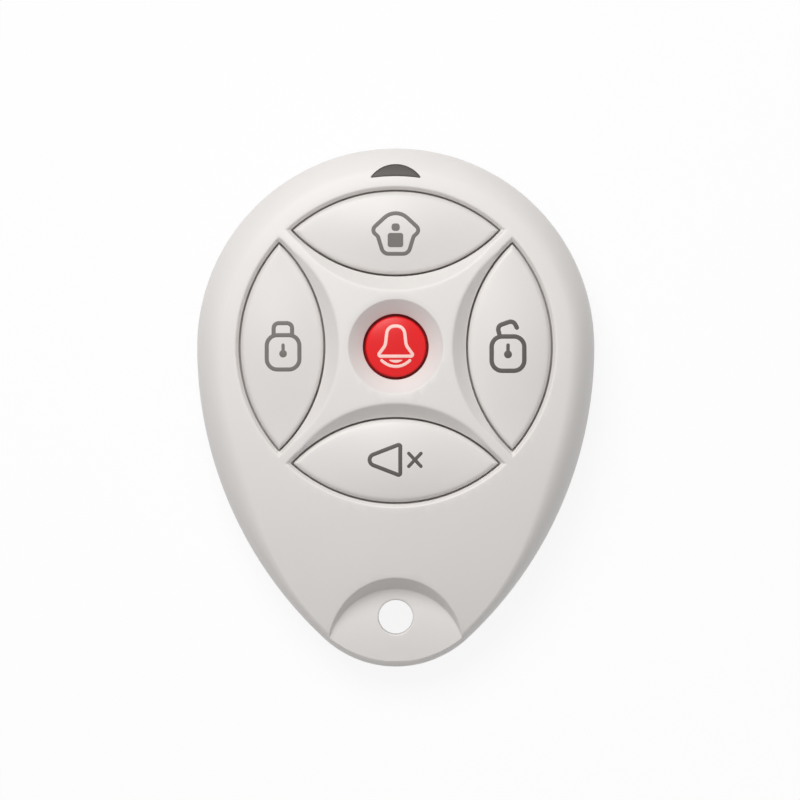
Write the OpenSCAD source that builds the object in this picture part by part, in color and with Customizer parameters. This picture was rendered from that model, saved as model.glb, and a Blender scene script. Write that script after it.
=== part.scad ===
// Alarm key fob: an egg-shaped pendant with four lens keys round a raised star and a round panic key.
// The back lies flat on z = 0, the keys face +Z and the key-ring tab is at the -Y end.

/* [Housing] */
// Overall length
fob_length = 60; // [57:0.5:66]
// Overall width
fob_width = 46; // [45:0.5:52]
// Radius of the tail end
tail_radius = 12.2; // [11:0.1:14]
// Radius of the domed front
dome_radius = 86; // [80:1:110]
// Width of the rolled front edge
edge_roll = 2.6; // [2:0.1:3]
// Radius of the rolled back edge
back_roll = 3.6; // [2.5:0.1:4]
// Height of the joint line between the covers
parting_height = 4.2; // [4:0.1:5]
// Thickness of the domed roof
roof = 1.5; // [1.2:0.1:1.7]
// Thickness of the back
back_wall = 1.5; // [1.2:0.1:2]
// Thickness of the side walls
side_wall = 2; // [1.8:0.1:2.3]
// Height of the lip that lines up the covers
lip_height = 1; // [0.6:0.1:1.3]
// Thickness of that lip
lip_wall = 0.9; // [0.7:0.05:1]

/* [Keys] */
// Distance from the head's edge to the circle on which the outer edges of the lens keys lie
ring_border = 5; // [4.7:0.1:5.5]
// Distance from the middle to the inner edge of a lens key
star_waist = 8.2; // [7.8:0.1:8.8]
// Radius of a lens key's inner edge
key_arc = 16.3; // [15.5:0.1:17.5]
// Gap between a key and its opening
key_gap = 0.3; // [0.2:0.05:0.4]
// Stroke of a key
key_travel = 0.5; // [0.3:0.05:0.6]
// Radius of the slightly crowned top of the lens keys
key_crown = 285; // [200:5:400]
// Depth of the keys' outer edges below the dome
key_sink = 0.15; // [0:0.05:0.3]
// Width of the slope from the star down to a key, at its middle
slope_width = 1.7; // [1.2:0.1:1.9]
// Angle of that slope to the dome
slope_angle = 27; // [22:1:32]
// Depth of the skirt that guides a key
skirt_depth = 1.8; // [1.6:0.1:2.4]
// Thickness of that skirt
skirt_wall = 0.9; // [0.7:0.05:1]
// Width of the flange that keeps a key in
flange_width = 0.7; // [0.5:0.05:0.9]
// Thickness of the flange
flange_thick = 0.8; // [0.6:0.05:1]
// Half the length of a lens key's flange
flange_reach = 7; // [5:0.5:8]
// Wall of a key cap
cap_wall = 1; // [0.8:0.05:1.2]
// Radius of the stem under a key
stem_radius = 1.3; // [1:0.1:1.4]

/* [Panic key] */
// Radius of the round key
panic_radius = 3.5; // [3.2:0.1:3.8]
// Rise of its crown
panic_rise = 0.4; // [0.2:0.05:0.6]
// Radius of the dish round it
dish_radius = 5.5; // [5:0.1:5.8]
// Depth of the dish
dish_depth = 1.1; // [0.7:0.1:1.3]

/* [Indicator] */
// Distance from the head's edge to the slot
window_edge = 1.94; // [1.8:0.02:2.4]
// Height of the slot at its middle
window_height = 1.4; // [1:0.05:1.6]
// Radius of the slot's upper edge
window_arc = 3.5; // [3:0.1:4]

/* [Key ring tab] */
// Diameter of the key-ring hole
ring_hole = 4; // [3:0.1:5]
// Distance from the tail's end to the middle of the hole
ring_hole_edge = 5.75; // [5:0.05:6]
// Thickness of the tab
tab_height = 6; // [5.6:0.1:6.4]
// Distance from the tail's end to the foot of the sunk wall
tab_reach = 8.85; // [8.5:0.05:9.5]
// Radius of the foot of the sunk wall
tab_arc = 8; // [7.5:0.1:9]
// Draft of the sunk wall
tab_draft = 22; // [15:1:28]

/* [Inside] */
// Diameter of the coin cell
cell_width = 20; // [16:0.1:20.5]
// Height of the coin cell
cell_height = 3.2; // [2:0.1:3.6]
// Thickness of the circuit board
board_thick = 1; // [0.8:0.1:1.6]
// Gap between the board's edge and the side walls
board_gap = 1.2; // [1.1:0.1:1.6]
// Side of a tact switch
switch_width = 5.2; // [4.5:0.1:5.4]
// Height of a switch with its cover plate
switch_height = 1.6; // [1.4:0.1:2]
// Height of a plunger above its switch
plunger_rise = 0.7; // [0.65:0.05:0.9]
// Radius of a plunger
plunger_radius = 1.5; // [1.2:0.1:1.6]
// Radius of the posts that carry the board
post_radius = 1.5; // [1.2:0.1:1.6]
// Radius of the pegs on those posts
peg_radius = 0.75; // [0.6:0.05:0.8]
// Radius of the cover screw's shank
screw_radius = 1; // [0.8:0.05:1.1]
// Length of the shank
screw_length = 6.2; // [5:0.1:6.4]
// Radius of the screw's head
screw_head = 2; // [1.7:0.1:2.2]

/* [Hidden] */
$fn = 96;

// Turn of each lens key about the middle, from +Y
home_turn = 0;
arm_turn = 90;
mute_turn = 180;
disarm_turn = 270;
lens_turns = [home_turn, arm_turn, mute_turn, disarm_turn];

// Clearances
seat_gap = 0.05; // between faces that rest on each other
slip_gap = 0.1; // round a part that slides or drops in
run_gap = 0.3; // past a part that moves
through = 1; // overshoot of a cut

// Egg outline: a round head, two long side arcs and a round tail, each tangent to the next
head_radius = fob_width / 2;
head_y = fob_length / 2 - head_radius;
tail_end = -fob_length / 2;
tail_y = tail_end + tail_radius;
tail_drop = head_y - tail_y;
side_radius = (head_radius ^ 2 + tail_drop ^ 2 - tail_radius ^ 2) / (2 * (head_radius - tail_radius));
side_turn = atan2(tail_drop, side_radius - head_radius);
outline_points = 96;
outline_turns = [for (k = [0:outline_points - 1]) 360 * k / outline_points];

// Stack from the back up to the keys
strap_thick = 0.25;
strap_bottom = back_wall + seat_gap;
cell_bottom = strap_bottom + strap_thick;
cell_top = cell_bottom + cell_height;
contact_rise = 0.5;
board_bottom = cell_top + contact_rise;
board_top = board_bottom + board_thick;
switch_top = board_top + switch_height;
plunger_top = switch_top + plunger_rise;
stem_bottom = plunger_top + seat_gap;
flange_bottom = switch_top + key_travel + run_gap;
flange_top = flange_bottom + flange_thick;
skirt_bottom = flange_top + seat_gap;

// Dome: a sphere about the middle of the keys, at a height set by the skirts
ring_radius = head_radius - ring_border;
ring_height = skirt_bottom + skirt_depth;
dome_middle = ring_height - sqrt(dome_radius ^ 2 - ring_radius ^ 2);
crown_height = dome_middle + dome_radius;

// Lens keys: the overlap of the ring circle and a circle beyond it
key_arc_y = star_waist + key_arc;
key_y = (star_waist + ring_radius) / 2;
tip_y = (ring_radius ^ 2 + key_arc_y ^ 2 - key_arc ^ 2) / (2 * key_arc_y);
key_top_middle = ring_height - key_sink - sqrt(key_crown ^ 2 - ring_radius ^ 2);
cap_ceiling = ring_height - key_sink - cap_wall;

// Slope from the star to a key: a cone about a line through the dome's centre, so its edge runs out at the tips
slope_y = star_waist - slope_width;
slope_tilt = atan2(dome_rise(slope_y) - dome_rise(ring_radius), tip_y - slope_y);
slope_spread = slope_tilt - asin(slope_y / dome_radius);
slope_radius = dome_radius * sin(slope_spread);
slope_level = dome_radius * cos(slope_spread);

// Dish and round key
dish_top = dome_height(dish_radius);
dish_floor = dish_top - dish_depth;
panic_crown = (panic_radius ^ 2 + panic_rise ^ 2) / (2 * panic_rise);
panic_ceiling = dish_floor - cap_wall;

// Indicator slot, from the head's edge inwards
window_top = head_radius - window_edge;
window_arc_y = window_top - window_arc;
window_foot = window_top - window_height;
window_ledge = dome_height(window_top) - roof - slip_gap;
lens_limit = head_radius - side_wall - run_gap;
lens_seat = dome_middle + sqrt((dome_radius - roof) ^ 2 - lens_limit ^ 2) - seat_gap;
lens_flange = 0.8;
lens_flange_thick = 0.9;
lens_sink = 0.15;

// Key-ring tab
ring_hole_y = tail_end + ring_hole_edge;
tab_y = tail_end + tab_reach - tab_arc;
tab_wall = 2.4;
tail_block = tab_arc + tab_wall;

// Cover screw
boss_wall = 1.3;
boss_radius = screw_radius + boss_wall;
boss_overlap = 0.6;
screw_y = tab_y + tail_block + boss_radius - boss_overlap;
screw_head_height = 1.3;
head_recess = 0.9;
screw_seat = screw_head_height + head_recess;
counterbore = screw_head + slip_gap;
counterbore_wall = 0.9;
pilot_top = screw_seat + screw_length + run_gap;

// Board and what it carries, from the middle of the keys
board_inset = side_wall + board_gap;
board_edge = head_radius - board_inset;
board_cut = screw_y + boss_radius + run_gap;
post_gap = 0.9;
post_xy = (cell_width / 2 + post_gap + post_radius) * sqrt(0.5);
post_signs = [[1, 1], [-1, 1], [-1, -1], [1, -1]];
peg_rise = 0.6;
socket_wall = 0.4;
plate_thick = 0.2;
plunger_sunk = 0.2;
led_size = [2, 1.25, 0.8];
led_y = board_edge - led_size[1] / 2 - run_gap;
chip_x = key_y / 2;
chip_height = 0.9;
controller_side = 5;
radio_side = 4;
crystal_length = 3.2;
crystal_width = 2.5;
crystal_height = 0.8;
crystal_y = -4;
wire_radius = 0.35;
wire_lift = 0.6;
wire_height = board_top + wire_lift;
wire_foot = 0.55;
wire_turn = 62;
wire_arc = (key_y + switch_width / 2 + led_y - led_size[1] / 2) / 2;

// Snap hooks at the head
hook_turn = 35;
hook_width = 5;
hook_thick = 0.65;
hook_clear = 0.35;
hook_root = 0.7;
hook_back = head_radius - side_wall - hook_clear;
hook_nib = 0.65;
nib_height = 0.6;
nib_lift = 0.7;
nib_bottom = parting_height + lip_height + nib_lift;

// Distance by which the dome's sphere stands above its own centre, r from the middle
function dome_rise(r) = sqrt(dome_radius ^ 2 - r ^ 2);

// Height of the dome above the back, r from the middle
function dome_height(r) = dome_middle + dome_rise(r);

// Point of the egg outline whose outward normal points along turn, moved in by inset
function egg_point(turn, inset) =
    let (side_x = side_radius - head_radius)
    let (arc = turn <= 180 ? [0, head_y, head_radius]
        : turn < 180 + side_turn ? [side_x, head_y, side_radius]
        : turn <= 360 - side_turn ? [0, tail_y, tail_radius]
        : [-side_x, head_y, side_radius])
    [arc[0], arc[1]] + (arc[2] - inset) * [cos(turn), sin(turn)];

function egg_outline(inset) = [for (turn = outline_turns) egg_point(turn, inset)];

// One ring of the front's rolled edge: u runs from the dome, 0, to the joint line, 1
function edge_ring(u) = [
    for (turn = outline_turns)
        let (normal = [cos(turn), sin(turn)])
        let (start = egg_point(turn, edge_roll))
        let (offset = start - [0, head_y])
        let (start_z = dome_height(norm(offset)))
        let (corner_z = start_z - edge_roll * (offset * normal) / dome_rise(norm(offset)))
        let (a = (1 - u) ^ 2, b = sqrt(2) * u * (1 - u), c = u ^ 2)
        let (place = start + normal * edge_roll * (b + c) / (a + b + c))
        [place[0], place[1], (a * start_z + b * corner_z + c * parting_height) / (a + b + c)]
];

// One ring of the dome, at a share s of the way from the middle to the rolled edge
function dome_ring(s) = [
    for (turn = outline_turns)
        let (offset = s * (egg_point(turn, edge_roll) - [0, head_y]))
        [offset[0], head_y + offset[1], dome_height(norm(offset))]
];

// One level ring of the outline
function flat_ring(inset, z) = [for (p = egg_outline(inset)) [p[0], p[1], z]];

// Solid through a list of rings, from the lowest to the one under the apex
module loft(rings, apex) {
    count = len(rings[0]);
    last = (len(rings) - 1) * count;
    points = concat([for (ring = rings) each ring], [apex]);
    floor_faces = [for (i = [1:count - 2]) [0, i, i + 1]];
    side_faces = [
        for (k = [0:len(rings) - 2], i = [0:count - 1])
            let (j = (i + 1) % count, low = k * count, high = low + count)
            each [[low + i, high + j, low + j], [low + i, high + i, high + j]]
    ];
    top_faces = [for (i = [0:count - 1]) [last + i, len(points) - 1, last + (i + 1) % count]];
    polyhedron(points, concat(floor_faces, side_faces, top_faces));
}

module egg_prism(inset, low, high) {
    translate([0, 0, low]) linear_extrude(high - low) polygon(egg_outline(inset));
}

module at_middle() {
    translate([0, head_y, 0]) children();
}

module disc(r, low, high) {
    translate([0, 0, low]) cylinder(r = r, h = high - low);
}

// Ball under the dome, its surface depth below it
module dome_ball(depth) {
    translate([0, 0, dome_middle]) sphere(r = dome_radius - depth, $fn = 180);
}

// Prism of a lens key's outline, grown all round, with the key towards +Y
module key_lens(grow, low, high) {
    intersection() {
        disc(ring_radius + grow, low, high);
        translate([0, key_arc_y, 0]) disc(key_arc + grow, low, high);
    }
}

// Prism of the indicator slot's outline, grown all round
module window_prism(grow, low, high) {
    difference() {
        translate([0, window_arc_y, 0]) disc(window_arc + grow, low, high);
        disc(window_foot - grow, low - through, high + through);
    }
}

module tail_disc(clearance, low, high) {
    translate([0, tab_y, 0]) disc(tail_block + clearance, low, high);
}

module at_posts() {
    for (s = post_signs) at_middle() translate([s[0] * post_xy, s[1] * post_xy, 0]) children();
}

// Places of the five switches
module at_switch(turn) {
    at_middle() rotate([0, 0, turn]) translate([0, key_y, 0]) children();
}

// Nibs of the hooks that hold the covers together, or their pockets when grown
module hook_nibs(grow) {
    for (turn = [hook_turn, -hook_turn])
        at_middle() rotate([0, 0, turn])
            translate([-hook_width / 2 - grow, hook_back - hook_thick / 2, nib_bottom - grow])
                cube([hook_width + 2 * grow, hook_thick / 2 + hook_nib + grow, nib_height + 2 * grow]);
}

// Springy tongues of the hooks, joined to the wall below the joint line
module hooks() {
    for (turn = [hook_turn, -hook_turn])
        at_middle() rotate([0, 0, turn]) {
            translate([-hook_width / 2, hook_back - hook_thick, back_wall - slip_gap])
                cube([hook_width, hook_thick, nib_bottom + nib_height - back_wall + slip_gap]);
            translate([-hook_width / 2, hook_back - hook_thick, back_wall - slip_gap])
                cube([hook_width, hook_thick + hook_root, parting_height - back_wall]);
        }
    hook_nibs(0);
}

// Space inside the front cover, less the skirts, screw boss and board pins that hang into it
module front_hollow() {
    difference() {
        intersection() {
            egg_prism(side_wall, parting_height - through, crown_height);
            at_middle() dome_ball(roof);
        }
        tail_disc(0, 0, crown_height);
        for (turn = lens_turns)
            at_middle() rotate([0, 0, turn])
                key_lens(key_gap / 2 + skirt_wall, skirt_bottom, crown_height);
        at_middle() disc(panic_radius + key_gap + skirt_wall, skirt_bottom, crown_height);
        translate([0, screw_y, 0]) disc(boss_radius, 0, crown_height);
        at_posts() disc(peg_radius + slip_gap + socket_wall, board_top + seat_gap, crown_height);
    }
}

// Slopes that lead from the star down to the lens keys
module star_slope() {
    slope_depth = slope_radius * tan(slope_angle);
    intersection() {
        disc(ring_radius + key_gap / 2, skirt_bottom, crown_height + through);
        translate([0, 0, dome_middle]) rotate([-slope_tilt, 0, 0])
            translate([0, 0, slope_level - slope_depth]) {
                cylinder(r1 = 0, r2 = slope_radius, h = slope_depth);
                translate([0, 0, slope_depth]) cylinder(r = slope_radius, h = 2 * through);
            }
    }
}

// Domed front shell with the key openings, the star, the dish, the slot and the sunk key-ring tab
module front_cover() {
    edge_steps = 6;
    dome_shares = [1, 0.86, 0.7, 0.52, 0.34, 0.16];
    rings = concat([for (k = [edge_steps:-1:1]) edge_ring(k / edge_steps)], [for (s = dome_shares) dome_ring(s)]);
    color([0.89, 0.87, 0.86]) difference() {
        loft(rings, [0, head_y, crown_height]);
        front_hollow();
        difference() {
            egg_prism(side_wall - lip_wall - slip_gap, parting_height - through, parting_height + lip_height + slip_gap);
            tail_disc(0, 0, crown_height);
            translate([0, screw_y, 0]) disc(boss_radius, 0, crown_height);
        }
        hook_nibs(slip_gap);
        for (turn = lens_turns)
            at_middle() rotate([0, 0, turn]) {
                key_lens(key_gap / 2, parting_height, crown_height + through);
                star_slope();
            }
        at_middle() {
            disc(panic_radius + key_gap, parting_height, crown_height + through);
            translate([0, 0, dish_floor]) cylinder(r1 = panic_radius + key_gap, r2 = dish_radius, h = dish_depth);
            disc(dish_radius, dish_top, crown_height + through);
            window_prism(0, window_ledge, crown_height);
        }
        translate([0, tab_y, tab_height])
            cylinder(r1 = tab_arc, r2 = tab_arc + tan(tab_draft) * crown_height, h = crown_height);
        translate([0, ring_hole_y, 0]) disc(ring_hole / 2, 0, crown_height);
        translate([0, screw_y, 0]) disc(screw_radius + seat_gap, 0, pilot_top);
        at_posts() disc(peg_radius + slip_gap, board_top, board_top + peg_rise + slip_gap);
    }
}

// Flat-backed rear shell with the joint lip, board posts, cell ribs, hooks and screw boss
module rear_cover() {
    roll_steps = 6;
    roll_turns = [for (k = [0:roll_steps]) 90 * k / roll_steps];
    rings = concat(
        [for (a = roll_turns) flat_ring(back_roll * (1 - sin(a)), back_roll * (1 - cos(a)))],
        [flat_ring(0, parting_height)]
    );
    rib_height = 2;
    rib_wall = 0.8;
    rib_gap = 0.35;
    rib_clear = 4;
    rib_radius = cell_width / 2 + rib_gap;
    color([0.86, 0.84, 0.83]) difference() {
        union() {
            difference() {
                loft(rings, [0, head_y, parting_height]);
                difference() {
                    egg_prism(side_wall, back_wall, parting_height + through);
                    tail_disc(0, 0, crown_height);
                    translate([0, screw_y, 0]) disc(counterbore + counterbore_wall, 0, crown_height);
                }
            }
            difference() {
                egg_prism(side_wall - lip_wall, parting_height - through, parting_height + lip_height);
                egg_prism(side_wall, 0, crown_height);
                tail_disc(slip_gap, 0, crown_height);
            }
            at_posts() disc(post_radius, back_wall - slip_gap, board_bottom);
            at_posts() disc(peg_radius, back_wall, board_top + peg_rise);
            at_middle() difference() {
                disc(rib_radius + rib_wall, back_wall - slip_gap, back_wall + rib_height);
                disc(rib_radius, 0, crown_height);
                translate([-fob_width, -rib_clear, 0]) cube([2 * fob_width, 2 * rib_clear, crown_height]);
            }
            hooks();
        }
        translate([0, ring_hole_y, 0]) disc(ring_hole / 2, -through, crown_height);
        translate([0, screw_y, 0]) {
            disc(counterbore, -through, screw_seat);
            disc(screw_radius + 2 * slip_gap, 0, crown_height);
        }
    }
}

// Hollow lens cap with a retaining flange, a long rib and the stem that presses its switch
module lens_key(turn) {
    rib = 0.8;
    rib_drop = 0.5;
    at_middle() rotate([0, 0, turn]) {
        difference() {
            union() {
                intersection() {
                    key_lens(-key_gap / 2, flange_bottom, crown_height);
                    translate([0, 0, key_top_middle]) sphere(r = key_crown, $fn = 360);
                }
                intersection() {
                    key_lens(flange_width, flange_bottom, flange_top);
                    translate([-flange_reach, 0, 0]) cube([2 * flange_reach, fob_width, crown_height]);
                }
            }
            key_lens(-key_gap / 2 - cap_wall, 0, cap_ceiling);
        }
        translate([0, key_y, 0]) disc(stem_radius, stem_bottom, cap_ceiling + slip_gap);
        intersection() {
            key_lens(-key_gap / 2 - cap_wall / 2, cap_ceiling - rib_drop, cap_ceiling + slip_gap);
            translate([-fob_width, key_y - rib / 2, 0]) cube([2 * fob_width, rib, crown_height]);
        }
    }
}

module home_key() {
    color([0.87, 0.86, 0.84]) lens_key(home_turn);
}

module arm_key() {
    color([0.87, 0.86, 0.84]) lens_key(arm_turn);
}

module mute_key() {
    color([0.87, 0.86, 0.84]) lens_key(mute_turn);
}

module disarm_key() {
    color([0.87, 0.86, 0.84]) lens_key(disarm_turn);
}

// Round red cap with a crowned top, a flange and its stem
module panic_key() {
    color([0.89, 0.13, 0.15]) at_middle() {
        difference() {
            union() {
                intersection() {
                    disc(panic_radius, flange_bottom, crown_height);
                    translate([0, 0, dish_floor + panic_rise - panic_crown]) sphere(r = panic_crown);
                }
                disc(panic_radius + key_gap + flange_width, flange_bottom, flange_top);
            }
            disc(panic_radius - cap_wall, 0, panic_ceiling);
        }
        disc(stem_radius, stem_bottom, panic_ceiling + slip_gap);
    }
}

// Smoked light pipe: a head that fills the slot, a flange under the roof and a leg down to the lamp
module indicator_lens() {
    leg_bottom = board_top + led_size[2] + run_gap;
    color([0.42, 0.41, 0.4]) at_middle() {
        intersection() {
            window_prism(-seat_gap, window_ledge + seat_gap, crown_height);
            dome_ball(lens_sink);
        }
        intersection() {
            union() {
                window_prism(-seat_gap, leg_bottom, window_ledge + slip_gap);
                difference() {
                    window_prism(lens_flange, lens_seat - lens_flange_thick, lens_seat);
                    disc(ring_radius + flange_width + run_gap, 0, crown_height);
                }
            }
            disc(lens_limit, 0, crown_height);
        }
    }
}

// Egg-shaped board, cut straight above the screw boss, with four peg holes
module circuit_board() {
    color([0.1, 0.36, 0.22]) difference() {
        egg_prism(board_inset, board_bottom, board_top);
        translate([-fob_width, board_cut - fob_length, 0]) cube([2 * fob_width, fob_length, crown_height]);
        at_posts() disc(peg_radius + slip_gap, 0, crown_height);
    }
}

// Moulded base of a tact switch with the round well for its plunger
module switch_base() {
    well_depth = plunger_sunk + key_travel + slip_gap;
    half = switch_width / 2;
    difference() {
        translate([-half, -half, board_top]) cube([switch_width, switch_width, switch_height - plate_thick]);
        disc(plunger_radius + slip_gap, switch_top - well_depth, crown_height);
    }
}

module home_switch() {
    color([0.13, 0.13, 0.14]) at_switch(home_turn) switch_base();
}

module arm_switch() {
    color([0.13, 0.13, 0.14]) at_switch(arm_turn) switch_base();
}

module mute_switch() {
    color([0.13, 0.13, 0.14]) at_switch(mute_turn) switch_base();
}

module disarm_switch() {
    color([0.13, 0.13, 0.14]) at_switch(disarm_turn) switch_base();
}

module panic_switch() {
    color([0.13, 0.13, 0.14]) at_middle() switch_base();
}

// Push pin of a tact switch
module plunger() {
    disc(plunger_radius, switch_top - plunger_sunk, plunger_top);
}

module home_plunger() {
    color([0.85, 0.84, 0.8]) at_switch(home_turn) plunger();
}

module arm_plunger() {
    color([0.85, 0.84, 0.8]) at_switch(arm_turn) plunger();
}

module mute_plunger() {
    color([0.85, 0.84, 0.8]) at_switch(mute_turn) plunger();
}

module disarm_plunger() {
    color([0.85, 0.84, 0.8]) at_switch(disarm_turn) plunger();
}

module panic_plunger() {
    color([0.85, 0.84, 0.8]) at_middle() plunger();
}

// Stamped plate on top of each switch
module switch_plate() {
    half = switch_width / 2;
    difference() {
        translate([-half, -half, switch_top - plate_thick]) cube([switch_width, switch_width, plate_thick]);
        disc(plunger_radius + slip_gap, 0, crown_height);
    }
}

module switch_frames() {
    color([0.75, 0.75, 0.74]) {
        for (turn = lens_turns) at_switch(turn) switch_plate();
        at_middle() switch_plate();
    }
}

// Surface-mount lamp with a clear dome
module status_led() {
    lamp_dome = 0.5;
    case_height = 0.55;
    color([0.93, 0.93, 0.88]) at_middle() translate([0, led_y, board_top]) {
        translate([-led_size[0] / 2, -led_size[1] / 2, 0]) cube([led_size[0], led_size[1], case_height]);
        cylinder(r = lamp_dome, h = led_size[2]);
    }
}

// Flat chip on the board, sized and placed from the middle of the keys
module chip(size, place) {
    at_middle() translate([place[0] - size[0] / 2, place[1] - size[1] / 2, board_top]) cube(size);
}

module controller_chip() {
    color([0.09, 0.09, 0.1]) chip([controller_side, controller_side, chip_height], [-chip_x, 0]);
}

module radio_chip() {
    color([0.09, 0.09, 0.1]) chip([radio_side, radio_side, chip_height], [chip_x, 0]);
}

module crystal() {
    color([0.78, 0.78, 0.76]) chip([crystal_length, crystal_width, crystal_height], [chip_x, crystal_y]);
}

// Rows of small resistors and capacitors above and below the chips
module chip_passives() {
    size = [1, 0.5, 0.4];
    row_pitch = 1.5;
    column_pitch = 1;
    row_y = 3.6;
    color([0.45, 0.35, 0.28]) {
        for (x = [-chip_x, chip_x], k = [-1:1]) chip(size, [x + k * row_pitch, row_y]);
        for (k = [0:2]) chip(size, [-chip_x, -row_y - k * column_pitch]);
    }
}

// Wire loop that stands on two soldered feet round the head end of the board
module antenna() {
    color([0.82, 0.8, 0.74]) at_middle() rotate([0, 0, 90 - wire_turn]) {
        translate([0, 0, wire_height]) rotate_extrude(angle = 2 * wire_turn)
            translate([wire_arc, 0]) circle(wire_radius);
        for (turn = [0, 2 * wire_turn])
            rotate([0, 0, turn]) translate([wire_arc, 0, 0])
                disc(wire_foot, board_top, wire_height + wire_radius + seat_gap);
    }
}

// Coin cell: a plain can below, and the stepped cap above it
module coin_cell() {
    cap_step = 0.4;
    cap_inset = 1.1;
    rim_round = 0.3;
    r = cell_width / 2;
    color([0.8, 0.81, 0.82]) at_middle() translate([0, 0, cell_bottom]) rotate_extrude()
        polygon([
            [0, 0], [r - rim_round, 0], [r, rim_round], [r, cell_height - cap_step - rim_round],
            [r - rim_round, cell_height - cap_step], [r - cap_inset, cell_height - cap_step],
            [r - cap_inset - rim_round, cell_height], [0, cell_height]
        ]);
}

// Bent strap under the cell, with feet soldered to the underside of the board
module battery_clip() {
    strap_width = 6;
    foot = 2;
    riser = cell_width / 2 + run_gap;
    outside = riser + strap_thick;
    ceiling = board_bottom;
    color([0.72, 0.72, 0.7]) at_middle() translate([0, strap_width / 2, 0]) rotate([90, 0, 0])
        linear_extrude(strap_width) polygon([
            [-outside, strap_bottom], [outside, strap_bottom], [outside, ceiling - strap_thick],
            [outside + foot, ceiling - strap_thick], [outside + foot, ceiling], [riser, ceiling],
            [riser, cell_bottom], [-riser, cell_bottom], [-riser, ceiling],
            [-outside - foot, ceiling], [-outside - foot, ceiling - strap_thick], [-outside, ceiling - strap_thick]
        ]);
}

// Thin disc under the board, dished down to the cell's cap
module battery_contact() {
    plate = 0.15;
    dimple = 1.5;
    shoulder = 2.6;
    rim = 4;
    low = cell_top + seat_gap;
    color([0.85, 0.72, 0.4]) at_middle() rotate_extrude() polygon([
        [0, low], [dimple, low], [shoulder, board_bottom - plate], [rim, board_bottom - plate],
        [rim, board_bottom], [shoulder - plate / 2, board_bottom], [dimple - plate / 2, low + plate], [0, low + plate]
    ]);
}

// Self-tapping screw with a pan head and a cross recess, driven from the back
module cover_screw() {
    cross = [0.5, 2.4, 0.8];
    tip = 1.2;
    head_bottom = screw_seat - screw_head_height;
    color([0.7, 0.71, 0.72]) translate([0, screw_y, 0]) difference() {
        union() {
            disc(screw_head, head_bottom, screw_seat);
            disc(screw_radius, screw_seat - seat_gap, screw_seat + screw_length - tip);
            translate([0, 0, screw_seat + screw_length - tip])
                cylinder(r1 = screw_radius, r2 = screw_radius / 4, h = tip);
        }
        for (turn = [0, 90])
            rotate([0, 0, turn]) translate([-cross[0] / 2, -cross[1] / 2, head_bottom - through])
                cube([cross[0], cross[1], cross[2] + through]);
    }
}

front_cover();
rear_cover();
home_key();
arm_key();
mute_key();
disarm_key();
panic_key();
indicator_lens();
circuit_board();
home_switch();
arm_switch();
mute_switch();
disarm_switch();
panic_switch();
home_plunger();
arm_plunger();
mute_plunger();
disarm_plunger();
panic_plunger();
switch_frames();
status_led();
controller_chip();
radio_chip();
crystal();
chip_passives();
antenna();
coin_cell();
battery_clip();
battery_contact();
cover_screw();
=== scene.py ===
import math

import bmesh
import bpy
from mathutils import Matrix, Vector


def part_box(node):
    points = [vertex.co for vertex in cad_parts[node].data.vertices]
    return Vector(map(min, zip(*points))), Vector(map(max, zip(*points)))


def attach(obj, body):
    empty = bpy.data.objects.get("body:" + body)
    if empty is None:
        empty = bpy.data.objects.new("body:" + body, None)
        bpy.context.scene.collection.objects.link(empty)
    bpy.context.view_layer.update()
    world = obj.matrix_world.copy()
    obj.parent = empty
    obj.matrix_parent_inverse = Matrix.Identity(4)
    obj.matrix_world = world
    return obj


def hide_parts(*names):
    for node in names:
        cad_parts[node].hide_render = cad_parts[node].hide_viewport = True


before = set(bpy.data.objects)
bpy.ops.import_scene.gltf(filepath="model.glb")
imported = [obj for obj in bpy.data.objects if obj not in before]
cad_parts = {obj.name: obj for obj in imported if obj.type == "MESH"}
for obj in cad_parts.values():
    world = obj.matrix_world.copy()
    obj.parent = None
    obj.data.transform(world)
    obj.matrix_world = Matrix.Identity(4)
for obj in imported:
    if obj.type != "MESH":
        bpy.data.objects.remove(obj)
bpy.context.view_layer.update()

# Rear cover
# The flat-backed half of the housing, injection moulded in warm light grey ABS with a large rolled edge.
# Posts inside carry the board, and a screw in a counterbore at the tail holds it to the front cover.
mm = 0.001
front_low, front_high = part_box("front_cover")
parting = front_low.z
head_radius = front_high.x
head_y = front_high.y - head_radius
head_steps = 120
tail_radius = 12.2 * mm
tail_y = front_low.y + tail_radius
tail_drop = head_y - tail_y
tail_steps = 40
side_radius = (head_radius ** 2 + tail_drop ** 2 - tail_radius ** 2) / (2 * (head_radius - tail_radius))
side_x = side_radius - head_radius
side_turn = math.degrees(math.atan2(tail_drop, side_x))
side_steps = 60
egg = [
    (0, head_y, head_radius, 0, 180, head_steps),
    (side_x, head_y, side_radius, 180, 180 + side_turn, side_steps),
    (0, tail_y, tail_radius, 180 + side_turn, 360 - side_turn, tail_steps),
    (-side_x, head_y, side_radius, 360 - side_turn, 360, side_steps),
]
back_roll = 3.6 * mm
roll_steps = 12
back_wall = 1.5 * mm
side_wall = 2 * mm
seam_break = 0.12 * mm
ring_hole = 2 * mm
ring_hole_y = -24.25 * mm
hole_round = 0.35 * mm
screw_y = -17.05 * mm
screw_seat = 2.2 * mm
counterbore = 2.1 * mm
counterbore_wall = 0.9 * mm
shank_hole = 1.2 * mm
post_radius = 1.5 * mm
post_place = 8.77 * mm
peg_radius = 0.75 * mm
peg_rise = 0.6 * mm
peg_round = 0.2 * mm
board_low, board_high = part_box("circuit_board")
peg_top = board_high.z + peg_rise
rib_radius = 10.35 * mm
rib_wall = 0.8 * mm
rib_height = 2 * mm
rib_clear = 4 * mm
corner_step = math.radians(11)
corner_least = 3
edge_spread = 1.3
edge_clear = 0.1
merge_reach = 0.0001 * mm
overlap = 0.1 * mm
beyond = 1 * mm


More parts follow.
